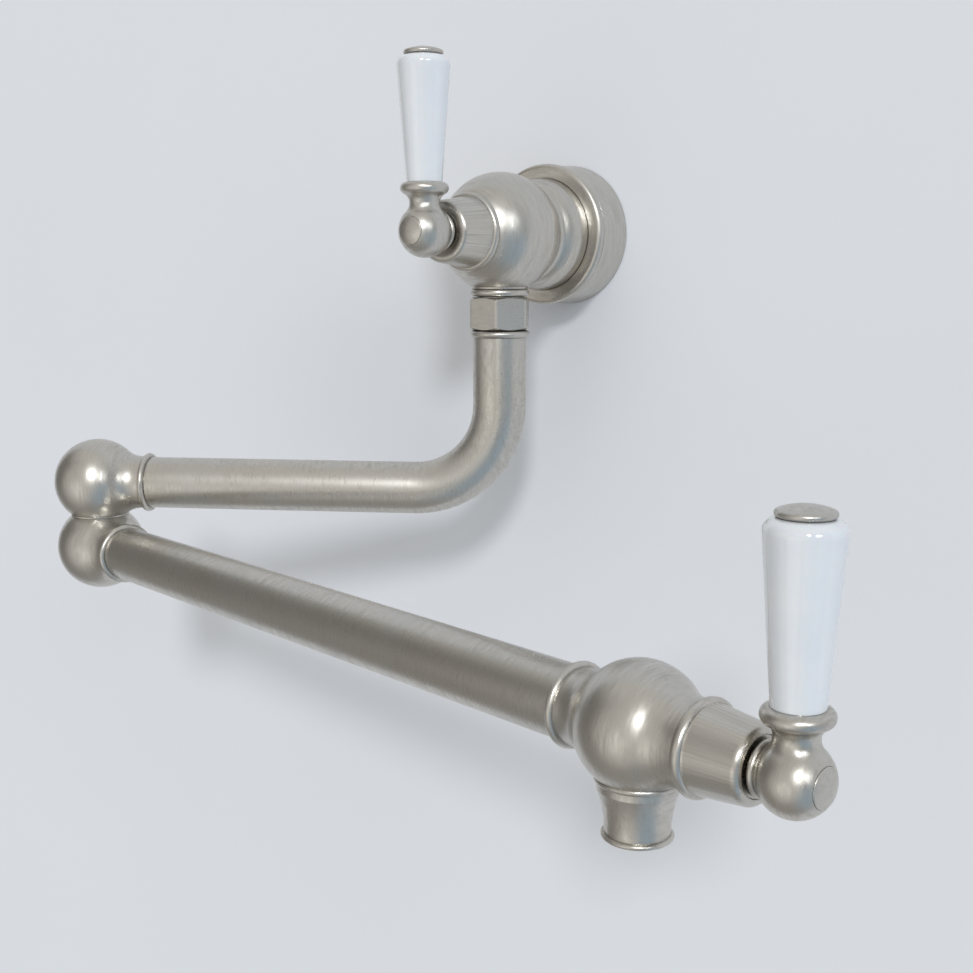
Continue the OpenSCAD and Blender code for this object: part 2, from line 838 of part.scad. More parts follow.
module spindle_clip() {
  translate([0, 0, clip_back + fit_gap])
    split_ring(spindle_clip_d / 2, spindle_r * clip_depth_share + fit_gap, spindle_clip_t);
}

// A bonnet, screwed into its body down to the cartridge's shoulder
module bonnet(bead_d, base_d, front_d, seat, front) {
  bead_mid = [(bead_d - bonnet_bead_t) / 2, seat + fit_gap + bonnet_bead_t / 2];
  side = [base_d / 2, seat + bonnet_bead_t];
  slope = (base_d - front_d) / 2 / (front - side[1]);
  hollow_mid = flare_mid(side, slope, bead_mid, bonnet_bead_t / 2, bonnet_flare);
  touch = hollow_mid - [bonnet_flare, bonnet_flare * slope] / sqrt(1 + slope * slope);
  difference() {
    rotate_extrude() {
      slice_2d(bonnet_thread_d / 2, shoulder_front + fit_gap, seat + bonnet_bead_t);
      bead_2d(bead_d / 2, bonnet_bead_t, seat + fit_gap);
      cone_2d(base_d / 2, front_d / 2, seat + bonnet_bead_t, front, bonnet_round);
      difference() {
        polygon([[0, bead_mid[1]], bead_mid, hollow_mid, touch, [0, touch[1]]]);
        translate(hollow_mid)
          circle(bonnet_flare);
      }
    }
    translate([0, 0, shoulder_front])
      cylinder(d = cart_stem_d + 2 * free_gap, h = clip_back - shoulder_front + 3 * spindle_clip_t);
    translate([0, 0, shoulder_front])
      cylinder(r = spindle_r + free_gap, h = front - shoulder_front + over);
    translate([0, 0, front - bonnet_dish])
      cylinder(r1 = bonnet_dish_d / 2, r2 = front_d / 2 - bonnet_round - 3 * fit_gap, h = bonnet_dish);
    translate([0, 0, front - bonnet_dish / 2])
      cylinder(d = bonnet_dish_d, h = bonnet_dish + over);
  }
}

// Lever pieces, in a hub's frame
module hub_2d() {
  waist_r = hub_waist_d / 2;
  collar_mid = [(collar_d - collar_t) / 2, collar_h + collar_t / 2];
  lower_r = cove(waist_r, hub_waist_h, [0, 0], hub_ball_r);
  upper_r = cove(waist_r, hub_waist_h, collar_mid, collar_t / 2);
  ball_2d(hub_ball_r);
  difference() {
    polygon([[0, 0], [waist_r + lower_r, hub_waist_h], [0, hub_waist_h]]);
    translate([waist_r + lower_r, hub_waist_h])
      circle(lower_r);
  }
  difference() {
    polygon([[0, hub_waist_h], [waist_r + upper_r, hub_waist_h], collar_mid, [0, collar_mid[1]]]);
    translate([waist_r + upper_r, hub_waist_h])
      circle(upper_r);
  }
  bead_2d(collar_d / 2, collar_t, collar_h);
}

module hub() {
  cover_seat = hub_flat - cover_t;
  difference() {
    union() {
      upright()
        rotate_extrude()
          hub_2d();
      translate([0, 0, -hub_back])
        rotate_extrude()
          bead_2d(hub_disc_d / 2, hub_disc_t, 0);
    }
    translate([0, 0, -hub_back - hub_ball_r])
      cylinder(r = hub_ball_r, h = hub_ball_r);
    translate([0, 0, hub_flat])
      cylinder(r = hub_ball_r, h = hub_ball_r);
    translate([-drive_w / 2 - fit_gap, -drive_w / 2 - fit_gap, -hub_back - over])
      cube([drive_w + 2 * fit_gap, drive_w + 2 * fit_gap, hub_back + over - drive_end]);
    translate([0, 0, -hub_back])
      cylinder(d = lever_screw_d + 2 * fit_gap, h = hub_back + hub_flat);
    translate([0, 0, cover_seat - lever_head_t - 2 * fit_gap])
      cylinder(d = lever_head_d + 2 * fit_gap, h = lever_head_t + cover_t);
    translate([0, 0, cover_seat - fit_gap])
      cylinder(d = cover_d + 2 * fit_gap, h = cover_t + over);
    upright()
      translate([0, 0, tie_foot - fit_gap])
        cylinder(d = tie_d + 2 * fit_gap, h = collar_top);
  }
}

module lever_screw() {
  head_top = hub_flat - cover_t - fit_gap;
  tip = -drive_end - lever_screw_grip;
  difference() {
    union() {
      translate([0, 0, head_top - lever_head_t])
        cylinder(d = lever_head_d, h = lever_head_t);
      translate([0, 0, tip])
        cylinder(d = lever_screw_d, h = head_top - lever_head_t - tip);
    }
    translate([0, 0, head_top - lever_head_t * socket_depth_share])
      cylinder(d = lever_screw_d, h = lever_head_t, $fn = 6);
  }
}

module screw_cover() {
  seat = hub_flat - cover_t;
  edge = hub_flat + cover_rise;
  face_r = cover_d / 2 - cover_chamfer;
  dome_r = (face_r * face_r + cover_dome * cover_dome) / (2 * cover_dome);
  rotate_extrude() {
    polygon([
      [0, seat],
      [cover_d / 2, seat],
      [cover_d / 2, edge - cover_chamfer],
      [face_r, edge],
      [0, edge]
    ]);
    intersection() {
      translate([0, edge + cover_dome - dome_r])
        circle(dome_r);
      slice_2d(face_r, seat, edge + 2 * cover_dome);
    }
  }
}

module tie_rod() {
  upright()
    translate([0, 0, tie_foot])
      cylinder(d = tie_d, h = cap_rim_mid - tie_foot);
}

module handle() {
  upright()
    difference() {
      rotate_extrude()
        cone_2d(handle_foot_d / 2, handle_top_d / 2, handle_foot, handle_top, handle_round);
      translate([0, 0, handle_foot - over])
        cylinder(d = handle_bore_d, h = handle_len + 2 * over);
      translate([0, 0, handle_top - cap_spigot_len - free_gap])
        cylinder(r = cap_spigot_d / 2 + free_gap / 2, h = cap_spigot_len + free_gap + over);
    }
}

// The cap's round rim, the dome that runs smoothly into it and the spigot
module cap_2d() {
  rim_r = cap_rim_t / 2;
  rim_mid = [cap_d / 2 - rim_r, cap_rim_mid];
  rise = rim_r + cap_dome_h;
  dome_r = (pow(rim_mid[0], 2) + rise * rise - rim_r * rim_r) / (2 * cap_dome_h);
  dome_mid = [0, cap_rim_mid + rise - dome_r];
  lean = (rim_mid - dome_mid) / (dome_r - rim_r);
  bead_2d(cap_d / 2, cap_rim_t, cap_foot);
  slice_2d(cap_spigot_d / 2, handle_top - cap_spigot_len, cap_rim_mid);
  intersection() {
    translate(dome_mid)
      circle(dome_r);
    polygon([[0, cap_rim_mid], rim_mid, rim_mid + lean * cap_rim_t, [0, cap_rim_mid + rise + cap_rim_t]]);
  }
}

module cap() {
  upright()
    difference() {
      rotate_extrude()
        cap_2d();
      translate([0, 0, handle_top - cap_spigot_len - over])
        cylinder(d = tie_d + 2 * fit_gap, h = cap_rim_mid + fit_gap - handle_top + cap_spigot_len + over);
    }
}

// Upper arm
module arm_spigot() {
  sleeve_end = spigot_bead_end + sleeve_len;
  color("silver")
    translate([0, -wall_ball_depth, 0])
      downward()
        difference() {
          rotate_extrude() {
            slice_2d(spigot_r, spigot_top, spigot_bead_end);
            bead_2d(spigot_bead_d / 2, spigot_bead_t, spigot_bead_top);
            slice_2d(sleeve_r, spigot_bead_top + spigot_bead_t / 2, sleeve_end);
          }
          translate([0, 0, spigot_top - over])
            cylinder(d = spigot_bore_d, h = sleeve_end - spigot_top + 2 * over);
          for (i = [0, 1])
            translate([0, 0, spigot_top + spigot_ring_first + i * spigot_ring_pitch])
              seal_groove(spigot_r);
          translate([0, 0, snap_top - fit_gap])
            shaft_groove(spigot_r, spigot_r * snap_depth_share, snap_t + 2 * fit_gap);
        }
}

module spigot_rings() {
  color("black")
    translate([0, -wall_ball_depth, 0])
      downward()
        for (i = [0, 1])
          translate([0, 0, spigot_top + spigot_ring_first + i * spigot_ring_pitch])
            seal_ring(spigot_r);
}

module snap_ring() {
  color("dimgray")
    translate([0, -wall_ball_depth, 0])
      downward()
        translate([0, 0, snap_top])
          split_ring(snap_d / 2, spigot_r * snap_depth_share + fit_gap, snap_t);
}

module straight_tube(len) {
  difference() {
    cylinder(r = tube_r, h = len);
    translate([0, 0, -over])
      cylinder(r = tube_bore_r, h = len + 2 * over);
  }
}

module upper_tube() {
  color("silver")
    at_upper_arm() {
      translate([0, 0, bend_r - arm_drop])
        straight_tube(arm_drop - bend_r - spigot_bead_end - fit_gap);
      translate([bend_r, 0, bend_r - arm_drop])
        rotate([90, 0, 0])
          rotate([0, 0, 180])
            rotate_extrude(angle = 90)
              translate([bend_r, 0])
                difference() {
                  circle(tube_r);
                  circle(tube_bore_r);
                }
      translate([bend_r, 0, -arm_drop])
        rotate([0, 90, 0])
          straight_tube(upper_arm_len - elbow_bead_end - fit_gap - bend_r);
    }
}

// An elbow casting: the ball, its smooth neck, the bead and the sleeve, along X
module elbow_2d() {
  ball_2d(elbow_ball_r);
  neck_2d(elbow_ball_r, tube_neck_r, elbow_bead + tube_bead_t / 2);
  bead_2d(tube_bead_d / 2, tube_bead_t, elbow_bead);
  slice_2d(sleeve_r, 0, elbow_bead_end + sleeve_len);
}

module elbow_casting(bore_r) {
  difference() {
    rotate([0, 90, 0])
      rotate_extrude()
        elbow_2d();
    translate([0, 0, joint_face])
      cylinder(r = elbow_ball_r, h = elbow_ball_r);
    translate([0, 0, -passage_r])
      cylinder(r = bore_r, h = passage_r + joint_face + over);
    rotate([0, 90, 0]) {
      cylinder(r = passage_r, h = elbow_bead_end + sleeve_len + over);
      translate([0, 0, elbow_ball_r])
        cylinder(r = sleeve_r - sleeve_wall, h = elbow_bead_end + sleeve_len + over - elbow_ball_r);
    }
  }
}

module upper_elbow() {
  color("silver")
    at_upper_arm()
      translate([upper_arm_len, 0, -arm_drop])
        rotate([180, 0, 180])
          difference() {
            elbow_casting(elbow_spindle_r + fit_gap);
            translate([0, 0, joint_face - clip_near - clip_t - 2 * free_gap])
              cylinder(r = clip_d / 2 + free_gap, h = clip_t + 2 * free_gap);
          }
}

// Lower arm
module elbow_spindle() {
  foot = joint_face - elbow_grip;
  top = elbow_rise - joint_face + elbow_grip;
  above = elbow_rise - joint_face;
  color("goldenrod")
    at_lower_arm()
      difference() {
        translate([0, 0, foot])
          cylinder(r = elbow_spindle_r, h = top - foot);
        translate([0, 0, foot - over])
          cylinder(d = elbow_bore_d, h = top - foot + 2 * over);
        for (i = [0, 1])
          translate([0, 0, above + elbow_ring_first + i * elbow_ring_pitch])
            seal_groove(elbow_spindle_r);
        translate([0, 0, above + clip_near + free_gap - fit_gap])
          shaft_groove(elbow_spindle_r, elbow_spindle_r * elbow_clip_share, clip_t + 2 * fit_gap);
      }
}

module elbow_rings() {
  color("black")
    at_lower_arm()
      for (i = [0, 1])
        translate([0, 0, elbow_rise - joint_face + elbow_ring_first + i * elbow_ring_pitch])
          seal_ring(elbow_spindle_r);
}

module elbow_clip() {
  color("dimgray")
    at_lower_arm()
      translate([0, 0, elbow_rise - joint_face + clip_near + free_gap])
        split_ring(clip_d / 2, elbow_spindle_r * elbow_clip_share + fit_gap, clip_t);
}

module elbow_washer() {
  color("silver")
    at_lower_arm()
      translate([0, 0, joint_face + fit_gap])
        difference() {
          cylinder(d = washer_d, h = washer_t);
          translate([0, 0, -over])
            cylinder(r = elbow_spindle_r + fit_gap, h = washer_t + 2 * over);
        }
}

module lower_elbow() {
  color("silver")
    at_lower_arm()
      elbow_casting(elbow_spindle_r + fit_gap);
}

module lower_tube() {
  start = elbow_bead_end + fit_gap;
  color("silver")
    at_lower_arm()
      translate([start, 0, 0])
        rotate([0, 90, 0])
          straight_tube(lower_arm_len - end_bead_end - fit_gap - start);
}

// End valve body: the ball with a smooth neck on each side, along the valve's axis
module end_body_2d() {
  ball_2d(end_ball_r);
  neck_2d(end_ball_r, end_neck_d / 2, end_seat_out);
  mirror([0, 1]) {
    neck_2d(end_ball_r, tube_neck_r, end_bead + tube_bead_t / 2);
    bead_2d(tube_bead_d / 2, tube_bead_t, end_bead);
    slice_2d(sleeve_r, 0, end_bead_end + sleeve_len);
  }
}

// The nozzle, measured down from the ball's centre
module nozzle_2d() {
  lip_mid = nozzle_lip_d / 2 - nozzle_lip_round;
  difference() {
    slice_2d(lip_mid, 0, nozzle_crease_drop);
    translate([nozzle_d / 2 + nozzle_curve, nozzle_crease_drop])
      circle(nozzle_curve);
  }
  translate([lip_mid, nozzle_lip_drop])
    circle(nozzle_lip_round);
  slice_2d(nozzle_d / 2, nozzle_lip_drop, nozzle_end - nozzle_bead_t / 2);
  bead_2d(nozzle_bead_d / 2, nozzle_bead_t, nozzle_crease_drop);
}

module end_body() {
  sleeve_end = end_bead_end + sleeve_len;
  color("silver")
    at_end_valve()
      difference() {
        union() {
          rotate_extrude()
            end_body_2d();
          rotate([90, 0, 0])
            rotate_extrude()
              nozzle_2d();
        }
        cartridge_bores(end_seat_out);
        translate([0, 0, -sleeve_end - over])
          cylinder(r = passage_r, h = sleeve_end + over);
        translate([0, 0, -sleeve_end - over])
          cylinder(r = sleeve_r - sleeve_wall, h = sleeve_end + over - end_ball_r);
        rotate([90, 0, 0]) {
          cylinder(d = nozzle_feed_d, h = nozzle_end);
          translate([0, 0, nozzle_end - straightener_inset - straightener_h])
            cylinder(d = nozzle_bore_d, h = straightener_inset + straightener_h + over);
        }
      }
}

module stream_straightener() {
  color("gainsboro")
    at_end_valve()
      rotate([90, 0, 0])
        translate([0, 0, nozzle_end - straightener_inset - straightener_h + fit_gap])
          difference() {
            cylinder(d = nozzle_bore_d - 2 * fit_gap, h = straightener_h);
            translate([0, 0, -over])
              cylinder(d = straightener_hole_d, h = straightener_h + 2 * over);
            for (i = [0:5])
              rotate([0, 0, i * 60])
                translate([straightener_ring_r, 0, -over])
                  cylinder(d = straightener_hole_d, h = straightener_h + 2 * over);
          }
}

// Pieces of the wall valve
module wall_seat_seal() {
  color("black")
    at_wall_valve()
      seat_seal();
}

module wall_fixed_disc() {
  color("white")
    at_wall_valve()
      fixed_disc();
}

module wall_cartridge() {
  color("goldenrod")
    at_wall_valve()
      cartridge();
}

module wall_cartridge_ring() {
  color("black")
    at_wall_valve()
      cartridge_ring();
}

module wall_bonnet() {
  color("silver")
    at_wall_valve()
      bonnet(wall_bonnet_bead_d, wall_bonnet_base_d, wall_bonnet_front_d, wall_seat_out, wall_bonnet_out);
}

module wall_moving_disc() {
  color("white")
    at_wall_valve()
      moving_disc();
}

module wall_spindle() {
  color("goldenrod")
    at_wall_valve()
      spindle(wall_hub_out);
}

module wall_spindle_ring() {
  color("black")
    at_wall_valve()
      spindle_ring();
}

module wall_spindle_clip() {
  color("dimgray")
    at_wall_valve()
      spindle_clip();
}

module wall_hub() {
  color("silver")
    at_wall_hub()
      hub();
}

module wall_lever_screw() {
  color("dimgray")
    at_wall_hub()
      lever_screw();
}

module wall_screw_cover() {
  color("silver")
    at_wall_hub()
      screw_cover();
}

module wall_tie_rod() {
  color("dimgray")
    at_wall_hub()
      tie_rod();
}

module wall_handle() {
  color("white")
    at_wall_hub()
      handle();
}

module wall_cap() {
  color("silver")
    at_wall_hub()
      cap();
}

// Pieces of the end valve
module end_seat_seal() {
  color("black")
    at_end_valve()
      seat_seal();
}

module end_fixed_disc() {
  color("white")
    at_end_valve()
      fixed_disc();
}

module end_cartridge() {
  color("goldenrod")
    at_end_valve()
      cartridge();
}

module end_cartridge_ring() {
  color("black")
    at_end_valve()
      cartridge_ring();
}

module end_bonnet() {
  color("silver")
    at_end_valve()
      bonnet(end_bonnet_bead_d, end_bonnet_base_d, end_bonnet_front_d, end_seat_out, end_bonnet_out);
}

module end_moving_disc() {
  color("white")
    at_end_valve()
      moving_disc();
}

module end_spindle() {
  color("goldenrod")
    at_end_valve()
      spindle(end_hub_out);
}

module end_spindle_ring() {
  color("black")
    at_end_valve()
      spindle_ring();
}

module end_spindle_clip() {
  color("dimgray")
    at_end_valve()
      spindle_clip();
}

module end_hub() {
  color("silver")
    at_end_hub()
      hub();
}

module end_lever_screw() {
  color("dimgray")
    at_end_hub()
      lever_screw();
}

module end_screw_cover() {
  color("silver")
    at_end_hub()
      screw_cover();
}

module end_tie_rod() {
  color("dimgray")
    at_end_hub()
      tie_rod();
}

module end_handle() {
  color("white")
    at_end_hub()
      handle();
}

module end_cap() {
  color("silver")
    at_end_hub()
      cap();
}

wall_flange();
flange_grub_screw();
wall_body();
wall_seat_seal();
wall_fixed_disc();
wall_cartridge();
wall_cartridge_ring();
wall_bonnet();
swivel_nut();
wall_moving_disc();
wall_spindle();
wall_spindle_ring();
wall_spindle_clip();
wall_hub();
wall_lever_screw();
wall_screw_cover();
wall_tie_rod();
wall_handle();
wall_cap();
arm_spigot();
spigot_rings();
snap_ring();
upper_tube();
upper_elbow();
elbow_spindle();
elbow_rings();
elbow_clip();
elbow_washer();
lower_elbow();
lower_tube();
end_body();
stream_straightener();
end_seat_seal();
end_fixed_disc();
end_cartridge();
end_cartridge_ring();
end_bonnet();
end_moving_disc();
end_spindle();
end_spindle_ring();
end_spindle_clip();
end_hub();
end_lever_screw();
end_screw_cover();
end_tie_rod();
end_handle();
end_cap();
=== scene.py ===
import json
import math
from collections import namedtuple

import bmesh
import bpy
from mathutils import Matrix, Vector


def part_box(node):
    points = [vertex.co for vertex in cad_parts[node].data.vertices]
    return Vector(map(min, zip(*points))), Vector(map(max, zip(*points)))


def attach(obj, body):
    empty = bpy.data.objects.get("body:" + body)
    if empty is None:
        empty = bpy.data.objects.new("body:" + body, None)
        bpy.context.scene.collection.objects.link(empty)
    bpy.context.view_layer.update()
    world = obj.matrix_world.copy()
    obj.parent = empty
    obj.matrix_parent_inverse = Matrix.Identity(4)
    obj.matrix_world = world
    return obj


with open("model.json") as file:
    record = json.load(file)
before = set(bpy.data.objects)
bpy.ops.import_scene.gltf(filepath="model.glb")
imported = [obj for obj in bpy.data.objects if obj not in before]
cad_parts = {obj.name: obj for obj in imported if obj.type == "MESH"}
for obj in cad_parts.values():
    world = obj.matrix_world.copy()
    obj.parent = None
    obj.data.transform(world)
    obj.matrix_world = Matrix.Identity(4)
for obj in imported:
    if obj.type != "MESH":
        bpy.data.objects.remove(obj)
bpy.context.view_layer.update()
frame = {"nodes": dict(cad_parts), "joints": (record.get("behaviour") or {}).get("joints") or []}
nodes = frame["nodes"]

# Places and directions, from the frame's joints and nodes, in metres

joints = {joint["name"]: joint for joint in frame["joints"]}
ELBOW = Vector(joints["elbow_hinge"]["pos_m"])
UP = Vector((0.0, 0.0, 1.0))
WALL_BALL = Vector(joints["wall_lever_hinge"]["pos_m"])
WALL_AXIS = Vector(joints["wall_lever_hinge"]["axis"])
END_BALL = Vector(joints["end_lever_hinge"]["pos_m"])
LOWER_ARM = Vector(joints["end_lever_hinge"]["axis"])
UPPER_ARM = Vector((ELBOW.x - WALL_BALL.x, ELBOW.y - WALL_BALL.y, 0.0)).normalized()
LOWER_BALL = Vector((ELBOW.x, ELBOW.y, END_BALL.z))
UPPER_BALL = 2 * ELBOW - LOWER_BALL


def upright_axis(node, height):
    """The point at that height on the axis of an upright turned node."""
    low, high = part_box(node)
    middle = (low + high) / 2
    return Vector((middle.x, middle.y, height))


WALL_HUB = upright_axis("wall_handle", WALL_BALL.z)
END_HUB = upright_axis("end_handle", END_BALL.z)

# Node trees


class Tree:
    """The node tree of a material or of the world, with short calls for its nodes."""

    def __init__(self, owner):
        owner.use_nodes = True
        self.owner = owner
        self.tree = owner.node_tree
        self.tree.nodes.clear()

    def add(self, kind, inputs=(), out=0, **settings):
        """Adds a node, sets or links its inputs, and returns one of its outputs."""
        node = self.tree.nodes.new(kind)
        for key, value in settings.items():
            setattr(node, key, value)
        for key, value in dict(inputs).items():
            if isinstance(value, bpy.types.NodeSocket):
                self.tree.links.new(value, node.inputs[key])
            else:
                node.inputs[key].default_value = value
        return node.outputs[out] if node.outputs else None

    def object_place(self):
        return self.add("ShaderNodeTexCoord", out="Object")

    def math(self, operation, a, b):
        return self.add("ShaderNodeMath", {0: a, 1: b}, operation=operation)

    def times(self, a, b):
        return self.math("MULTIPLY", a, b)

    def vector(self, operation, a, b=(0.0, 0.0, 0.0), out="Vector"):
        return self.add("ShaderNodeVectorMath", {0: a, 1: b}, out, operation=operation)

    def dot(self, a, b):
        return self.vector("DOT_PRODUCT", a, b, "Value")

    def scale(self, a, factor):
        return self.add("ShaderNodeVectorMath", {0: a, "Scale": factor}, operation="SCALE")

    def join(self, x, y, z):
        return self.add("ShaderNodeCombineXYZ", {"X": x, "Y": y, "Z": z})

    def noise(self, vector, scale, detail, roughness, w=None):
        inputs = {"Vector": vector, "Scale": scale, "Detail": detail, "Roughness": roughness}
        if w is None:
            return self.add("ShaderNodeTexNoise", inputs)
        return self.add("ShaderNodeTexNoise", {**inputs, "W": w}, noise_dimensions="4D")

    def span(self, value, low, high, to_low=0.0, to_high=1.0):
        """value mapped from low..high to to_low..to_high, and held at the ends."""
        inputs = {"Value": value, "From Min": low, "From Max": high, "To Min": to_low, "To Max": to_high}
        return self.add("ShaderNodeMapRange", inputs)

    def mix(self, factor, a, b):
        """Colour a with b over it by factor. Sockets 6 and 7 and output 2 are the mix node's colours."""
        return self.add("ShaderNodeMix", {0: factor, 6: a, 7: b}, 2, data_type="RGBA")

    def bump(self, height, distance, strength, normal=None):
        inputs = {"Strength": strength, "Distance": distance, "Height": height}
        if normal is not None:
            inputs["Normal"] = normal
        return self.add("ShaderNodeBump", inputs)

    def finish(self, **inputs):
        """Ends a material in a Principled shader and returns the material."""
        named = {key.replace("_", " "): value for key, value in inputs.items()}
        shader = self.add("ShaderNodeBsdfPrincipled", named)
        self.add("ShaderNodeOutputMaterial", {"Surface": shader})
        return self.owner


def new_material(name):
    return Tree(bpy.data.materials.new(name))


def sideways(axis):
    """Two unit vectors square to axis and to each other."""
    helper = UP if abs(axis.z) < 0.9 else Vector((1, 0, 0))
    first = axis.cross(helper).normalized()
    return first, axis.cross(first)


Turned = namedtuple("Turned", "place along radius cosine sine radial")


def turned_coordinates(t, origin, axis):
    """A point's place along an axis, its distance from it, the angle round it and the vector from it."""
    first, second = sideways(axis)
    place = t.object_place()
    from_origin = t.vector("SUBTRACT", place, origin)
    along = t.dot(from_origin, axis)
    radial = t.vector("SUBTRACT", from_origin, t.scale(axis, along))
    radius = t.vector("LENGTH", radial, out="Value")
    unit = t.vector("NORMALIZE", radial)
    return Turned(place, along, radius, t.dot(unit, first), t.dot(unit, second), radial)


# The middle of a noise's range, and most of that range

MIDDLE = (0.35, 0.65)
MOST = (0.3, 0.7)

# Satin nickel: its colours, and the share of each over the base where it is strongest

NICKEL = (0.60, 0.570, 0.520, 1.0)
NICKEL_COOL = (0.58, 0.564, 0.53, 1.0)
NICKEL_DARK = (0.42, 0.392, 0.35, 1.0)
NICKEL_LIGHT = (0.73, 0.705, 0.66, 1.0)
NICKEL_EDGE = (0.80, 0.77, 0.71, 1.0)
# The crevice colour is painted shade, laid into creases where the ambient occlusion finds them
NICKEL_CREVICE_SHADE = (0.13, 0.115, 0.095, 1.0)
DARK_LINE_SHARE = 0.6875
LIGHT_LINE_SHARE = 0.50
FINE_SHARE = 0.14
EDGE_SHARE = 0.35
CREVICE_SHADE_SHARE = 0.60

# Brush marks: noise waves per metre along the axis, radius of the noise's circle round it, noise
# waves per metre outwards (none in lengthwise marks), and the noise's roughness
RING_FINE = (3400.0, 1.0, 1500.0, 0.65)
RING_LINES = (1150.0, 2.6, 420.0, 0.72)
LENGTHWISE_FINE = (55.0, 44.0, None, 0.65)
LENGTHWISE_LINES = (22.0, 15.0, None, 0.72)
MARK_DETAIL = 3.0

# Roughness in a brush line's dark and light, and what the clouds and worn edges change of it
LINE_ROUGHNESS = (0.42, 0.2075)
CLOUD_ROUGHNESS = (-0.02, 0.04)
EDGE_POLISH = 0.06

# Heights of the marks against each other, and the bump's depth in metres and its strength
FINE_HEIGHT = 0.7
LINE_HEIGHT = 1.6
FLECK_HEIGHT = 0.2
NICKEL_BUMP = 0.000022
BUMP_STRENGTH = 0.5

# Noises over the whole of a piece: waves per metre, detail and roughness
NICKEL_CLOUD = (38.0, 4.0, 0.55)
NICKEL_PATCH = (70.0, 2.0, 0.5)
NICKEL_FLECK = (2600.0, 2.0, 0.5)

# Ranges of the noises: where the dark lines fade out, the light lines come in, the roughness
# changes, and the lines go from the share that bare patches keep to all of them
DARK_LINES = (0.30, 0.52)
LIGHT_LINES = (0.54, 0.72)
LINE_RANGE = (0.28, 0.72)
BARE_PATCHES = (0.38, 0.62)
BARE_SHARE = 0.30

# Worn edges, and crevices darkened with painted shade: how far each reaches in metres, and the range of
# the measure that finds it
EDGE_RADIUS = 0.0003
EDGE_TURN = (0.93, 0.999)
CREVICE_REACH = 0.0011
CREVICE_OPENNESS = (0.30, 0.85)
SURFACE_SAMPLES = 4
ANISOTROPY = 0.35


def brush_marks(t, turned, along_rate, circle, outward_rate, roughness):
    """Noise that is drawn out round the axis or along it, as a brush leaves it."""
    around = (t.times(turned.cosine, circle), t.times(turned.sine, circle))
    place = t.join(t.times(turned.along, along_rate), *around)
    outward = None if outward_rate is None else t.times(turned.radius, outward_rate)
    return t.noise(place, 1.0, MARK_DETAIL, roughness, outward)


def brush_tangent(t, turned, axis, rings):
    """The direction of the brush lines in the world."""
    tangent = t.vector("CROSS_PRODUCT", axis, turned.radial) if rings else t.join(*axis)
    settings = {"vector_type": "VECTOR", "convert_from": "OBJECT", "convert_to": "WORLD"}
    return t.add("ShaderNodeVectorTransform", {"Vector": tangent}, **settings)


def nickel(name, origin, axis, rings=True):
    """Satin nickel. The brush lines run round the axis, or along it where rings is False."""
    t = new_material(name)
    turned = turned_coordinates(t, origin, axis)
    fine = brush_marks(t, turned, *(RING_FINE if rings else LENGTHWISE_FINE))
    line = brush_marks(t, turned, *(RING_LINES if rings else LENGTHWISE_LINES))
    cloud = t.noise(turned.place, *NICKEL_CLOUD)
    patch = t.span(t.noise(turned.place, *NICKEL_PATCH), *BARE_PATCHES, BARE_SHARE, 1.0)
    fleck = t.noise(turned.place, *NICKEL_FLECK)

    rounded = t.add("ShaderNodeBevel", {"Radius": EDGE_RADIUS}, samples=SURFACE_SAMPLES)
    face = t.add("ShaderNodeNewGeometry", out="Normal")
    edge = t.span(t.dot(rounded, face), *EDGE_TURN, 1.0, 0.0)
    reach = {"Distance": CREVICE_REACH}
    openness = t.add("ShaderNodeAmbientOcclusion", reach, "AO", samples=SURFACE_SAMPLES)
    crevice_shade = t.span(openness, *CREVICE_OPENNESS, 1.0, 0.0)

    colour = t.mix(t.span(cloud, *MIDDLE), NICKEL, NICKEL_COOL)
    dark = t.times(t.span(line, *DARK_LINES, DARK_LINE_SHARE, 0.0), patch)
    colour = t.mix(dark, colour, NICKEL_DARK)
    light = t.times(t.span(line, *LIGHT_LINES, 0.0, LIGHT_LINE_SHARE), patch)
    colour = t.mix(light, colour, NICKEL_LIGHT)
    colour = t.mix(t.span(fine, *MOST, FINE_SHARE, 0.0), colour, NICKEL_DARK)
    colour = t.mix(t.times(edge, EDGE_SHARE), colour, NICKEL_EDGE)
    # Painted shade: crevices found by the ambient occlusion are darkened
    colour = t.mix(t.times(crevice_shade, CREVICE_SHADE_SHARE), colour, NICKEL_CREVICE_SHADE)

    rough = t.span(line, *LINE_RANGE, *LINE_ROUGHNESS)
    rough = t.math("ADD", rough, t.span(cloud, *MOST, *CLOUD_ROUGHNESS))
    rough = t.math("SUBTRACT", rough, t.times(edge, EDGE_POLISH))

    height = t.math("ADD", t.times(fine, FINE_HEIGHT), t.times(t.times(line, patch), LINE_HEIGHT))
    height = t.math("ADD", height, t.times(fleck, FLECK_HEIGHT))
    normal = t.bump(height, NICKEL_BUMP, BUMP_STRENGTH, rounded)
    return t.finish(Base_Color=colour, Metallic=1.0, Roughness=rough, Anisotropic=ANISOTROPY,
                    Tangent=brush_tangent(t, turned, axis, rings), Normal=normal)


# Porcelain

GLAZE = (0.765, 0.80, 0.85, 1.0)
GLAZE_PALE = (0.80, 0.83, 0.87, 1.0)
GLAZE_SPECK = (0.62, 0.60, 0.56, 1.0)
SPECK_SHARE = 0.10
SPECK_RANGE = (0.70, 0.78)
GLAZE_ROUGHNESS = (0.05, 0.10)

# Noises: waves per metre, detail and roughness. The waves' bump has its height in metres
GLAZE_MOTTLE = (90.0, 4.0, 0.5)
GLAZE_SPECKS = (3400.0, 1.0, 0.5)
GLAZE_WAVES = (160.0, 1.0, 0.4)
WAVE_HEIGHT = 0.00004
WAVE_STRENGTH = 0.35


